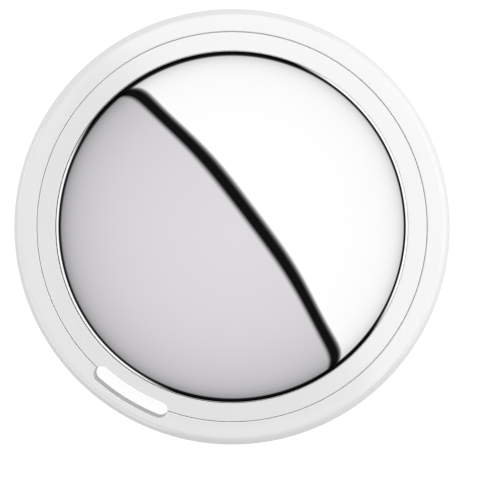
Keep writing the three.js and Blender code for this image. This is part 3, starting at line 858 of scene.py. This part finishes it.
def overhead_light(graph, direction, from_zenith):
    """Two overhead softboxes with a dark gap between them that widens and bends to its ends."""
    left = softbox_level(graph, from_zenith, *LEFT_SOFTBOX)
    right = softbox_level(graph, from_zenith, *RIGHT_SOFTBOX)
    toward = dot(graph, direction, across(GAP_AZIMUTH))
    along = dot(graph, direction, across(GAP_AZIMUTH + 90))
    bend = graph.math("DIVIDE", graph.math("ABSOLUTE", along), GAP_BEND_AT)
    bend = graph.math("MULTIPLY", graph.math("POWER", bend, 10.0), GAP_BEND)
    from_gap = graph.math("SUBTRACT", graph.math("ADD", toward, bend), GAP_PLACE)
    flare = graph.math("MULTIPLY", along, GAP_FLARE)
    half_gap = graph.math("SQRT", graph.math("ADD", graph.math("MULTIPLY", flare, flare), GAP_HALF ** 2))
    share = graph.math("DIVIDE", from_gap, half_gap)
    left = graph.math("MULTIPLY", left, graph.range(share, *LEFT_FADE))
    right_edge = graph.math("POWER", graph.range(share, *RIGHT_FADE, smooth=False), 3.0)
    right = graph.math("MULTIPLY", right, right_edge)
    tinted = graph.node("ShaderNodeVectorMath", {0: left, 1: LEFT_TINT}, operation="MULTIPLY").outputs[0]
    both = graph.node("ShaderNodeVectorMath", {0: tinted, 1: right}, operation="ADD").outputs[0]
    black = graph.range(from_zenith, *BLACK_ENDS, BLACK, 0.0)
    return graph.node("ShaderNodeVectorMath", {0: both, 1: black}, operation="ADD").outputs[0]


SIDE_SOFTBOXES = ((16, 1.3), (197, 1.1))   # direction and brightness of each
SIDE_WIDTH = (0.38, 0.53)                  # cosines from that direction where it starts and is full
SIDE_TOP = (36.1, 38.5)                    # in degrees from overhead, as are the next three
SIDE_FOOT = (54, 46)
UPPER_WALL = (42.5, 52)
LOWER_WALL = (52, 92)
WALL_LEVELS = (0.5, 0.3)                   # what the upper wall rises to, and what the lower adds


def side_light(graph, direction, from_zenith):
    """A narrow bright softbox on the right and one on the left, and a pale wall all round."""
    height = graph.math("MULTIPLY", graph.range(from_zenith, *SIDE_TOP), graph.range(from_zenith, *SIDE_FOOT))
    right, left = (graph.range(dot(graph, direction, across(angle)), *SIDE_WIDTH, 0.0, level)
                   for angle, level in SIDE_SOFTBOXES)
    boxes = graph.math("MULTIPLY", graph.math("ADD", right, left), height)
    upper, lower = (graph.range(from_zenith, *ends, 0.0, level)
                    for ends, level in zip((UPPER_WALL, LOWER_WALL), WALL_LEVELS))
    return graph.math("MAXIMUM", boxes, graph.math("ADD", upper, lower))


SOFT_LEVEL = 0.95        # the soft light's mean brightness
SOFT_TILT = 0.4          # how much stronger it is towards SOFT_ANGLE
SOFT_ANGLE = 50
SOFT_SIDES = 0.7         # how much stronger it is at both sides and weaker above and below them,
SIDES_ANGLE = 5          # where the sides lie along this direction


def studio_world():
    """What glossy rays see is a studio with softboxes. Soft light, a little stronger from the
    upper right and from both sides, falls on everything else, and the camera sees a pale
    backdrop."""
    world = bpy.data.worlds.new("studio")
    bpy.context.scene.world = world
    world.use_nodes = True
    world.cycles.sampling_method = "NONE"      # only glossy rays see the sharp softboxes
    graph = Graph(world.node_tree)
    direction = graph.node("ShaderNodeTexCoord").outputs["Generated"]
    from_zenith = graph.math("DEGREES", graph.math("ARCCOSINE", dot(graph, direction, (0, 0, 1))))
    glossy = graph.node("ShaderNodeVectorMath", {
        0: overhead_light(graph, direction, from_zenith),
        1: side_light(graph, direction, from_zenith)}, operation="ADD").outputs[0]
    sideways = dot(graph, direction, across(SIDES_ANGLE))
    upwards = dot(graph, direction, across(SIDES_ANGLE + 90))
    sides = graph.math("SUBTRACT", graph.math("MULTIPLY", sideways, sideways),
                       graph.math("MULTIPLY", upwards, upwards))
    soft = graph.math("MULTIPLY_ADD", dot(graph, direction, across(SOFT_ANGLE)), SOFT_TILT, SOFT_LEVEL)
    soft = graph.math("MULTIPLY_ADD", sides, SOFT_SIDES, soft)
    ray = graph.node("ShaderNodeLightPath").outputs
    seen = graph.node("ShaderNodeMix", {0: ray["Is Glossy Ray"], 6: soft, 7: glossy},
                      data_type="RGBA").outputs[2]
    seen = graph.node("ShaderNodeMix", {0: ray["Is Camera Ray"], 6: seen, 7: (PALE, PALE, PALE, 1)},
                      data_type="RGBA").outputs[2]
    world.node_tree.links.new(seen, world.node_tree.nodes["Background"].inputs["Color"])


def softbox(name, middle, facing, azimuth, size, radiance, receivers):
    """A softbox that only glosses the receivers: its width is at right angles to the azimuth."""
    data = bpy.data.lights.new(name, "AREA")
    data.shape = "RECTANGLE"
    data.size, data.size_y = size
    data.energy = radiance * math.pi * size[0] * size[1]
    made = bpy.data.objects.new(name, data)
    bpy.context.scene.collection.objects.link(made)
    away = -facing
    level = across(azimuth + 90)
    turn = Matrix((level, away.cross(level), away)).transposed().to_4x4()
    made.matrix_world = Matrix.Translation(middle) @ turn
    made.visible_camera = False
    made.visible_diffuse = False
    made.light_linking.receiver_collection = receivers


SOFTBOX_HEIGHT = 0.6     # metres, and the unit of the reaches, widths, sizes and place below
SKY_SOFTBOXES = (        # name, direction, nearest and furthest reach, width, radiance
    ("right sky", GAP_AZIMUTH, 0.009, 1.6, 3, 3.1),
    ("left sky", 190, 0.2, 1.6, 1.8, 1.2),
    ("lower sky", 275, 0.25, 1.6, 1.8, 1.1),
)
WALL_SOFTBOXES = (("right box", 12), ("left box", 202))    # name and direction
WALL_SOFTBOX_SIZE = (2.4, 0.6)
WALL_SOFTBOX_PLACE = 0.3                   # how high the middle of each is
WALL_SOFTBOX_RADIANCE = 2.1


def plastic_softboxes():
    """Gloss on the white plastic: three wide softboxes overhead and one at each side."""
    receivers = bpy.data.collections.new("white plastic pieces")
    for piece in bpy.context.scene.objects:
        if piece.type != "MESH" or not piece.data.materials:
            continue
        if piece.data.materials[0] == MATERIALS["white_plastic"]:
            receivers.objects.link(piece)
    overhead = Vector((0, 0, SOFTBOX_HEIGHT))
    for name, azimuth, near, far, width, radiance in SKY_SOFTBOXES:
        middle = across(azimuth) * SOFTBOX_HEIGHT * (near + far) / 2 + overhead
        size = (width * SOFTBOX_HEIGHT, (far - near) * SOFTBOX_HEIGHT)
        softbox(name, middle, Vector((0, 0, -1)), azimuth, size, radiance, receivers)
    for name, azimuth in WALL_SOFTBOXES:
        middle = across(azimuth) * SOFTBOX_HEIGHT + overhead * WALL_SOFTBOX_PLACE
        size = [side * SOFTBOX_HEIGHT for side in WALL_SOFTBOX_SIZE]
        softbox(name, middle, -across(azimuth), azimuth, size, WALL_SOFTBOX_RADIANCE, receivers)


def camera():
    """Straight above the tag, rolled so that the slot comes at seven o'clock."""
    height = 0.31            # above the white face
    width_seen = 0.036617
    shift = RIGHT * 0.001316 - UP * 0.001706
    data = bpy.data.cameras.new("camera")
    data.sensor_width = 36
    data.lens = data.sensor_width * height / width_seen
    data.clip_start, data.clip_end = 0.01, 10
    made = bpy.data.objects.new("camera", data)
    bpy.context.scene.collection.objects.link(made)
    turn = Matrix((RIGHT, UP, Vector((0, 0, 1)))).transposed().to_4x4()
    made.matrix_world = Matrix.Translation(shift + Vector((0, 0, RING_TOP * MM + height))) @ turn
    bpy.context.scene.camera = made


pale_floor()
studio_world()
plastic_softboxes()
camera()
bpy.context.scene.view_settings.view_transform = "Standard"
